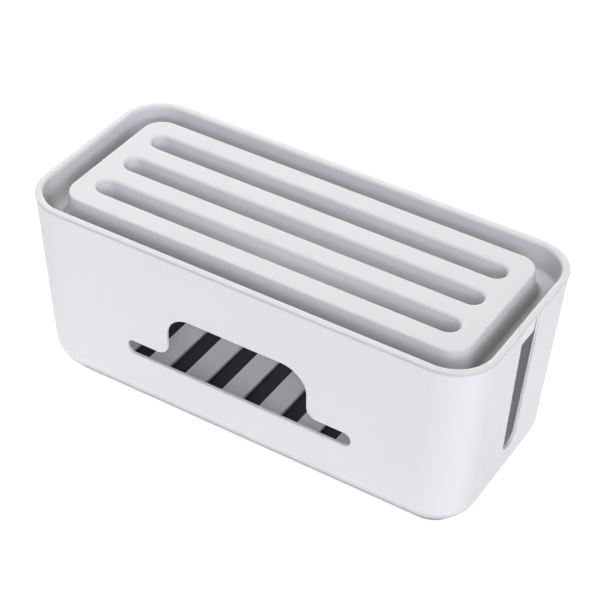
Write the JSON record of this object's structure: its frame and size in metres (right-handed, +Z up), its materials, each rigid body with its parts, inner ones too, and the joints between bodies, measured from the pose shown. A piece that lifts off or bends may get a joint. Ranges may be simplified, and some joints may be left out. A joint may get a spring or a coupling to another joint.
{
  "type": "cable management box",
  "caption": "Desktop cable box: tapered white plastic tub with a hat-shaped front window, notched ends and slotted floor, closed by a lift-off lid with long slots in a raised panel.",
  "frame": {"origin": "middle of the footprint, on the surface that the feet stand on", "axes": "+X along the length to the right as seen from the front, -Y towards the front with the window, +Z up"},
  "size_m": [0.32, 0.1436, 0.1344],
  "materials": {
    "tub_plastic": "fine satin texture, white",
    "lid_plastic": "fine satin texture, white",
    "foot_rubber": "matt, slightly grippy"
  },
  "bodies": {
    "tub": {"box_body": "tub_plastic", "foot_front_left": "foot_rubber", "foot_front_right": "foot_rubber", "foot_back_left": "foot_rubber", "foot_back_right": "foot_rubber"},
    "lid": {"lid": "lid_plastic"}
  },
  "joints": [
    {"name": "lid_lift", "type": "slide", "parent": "tub", "child": "lid", "axis": [0, 0, 1], "range_m": [0, 0.15]}
  ]
}
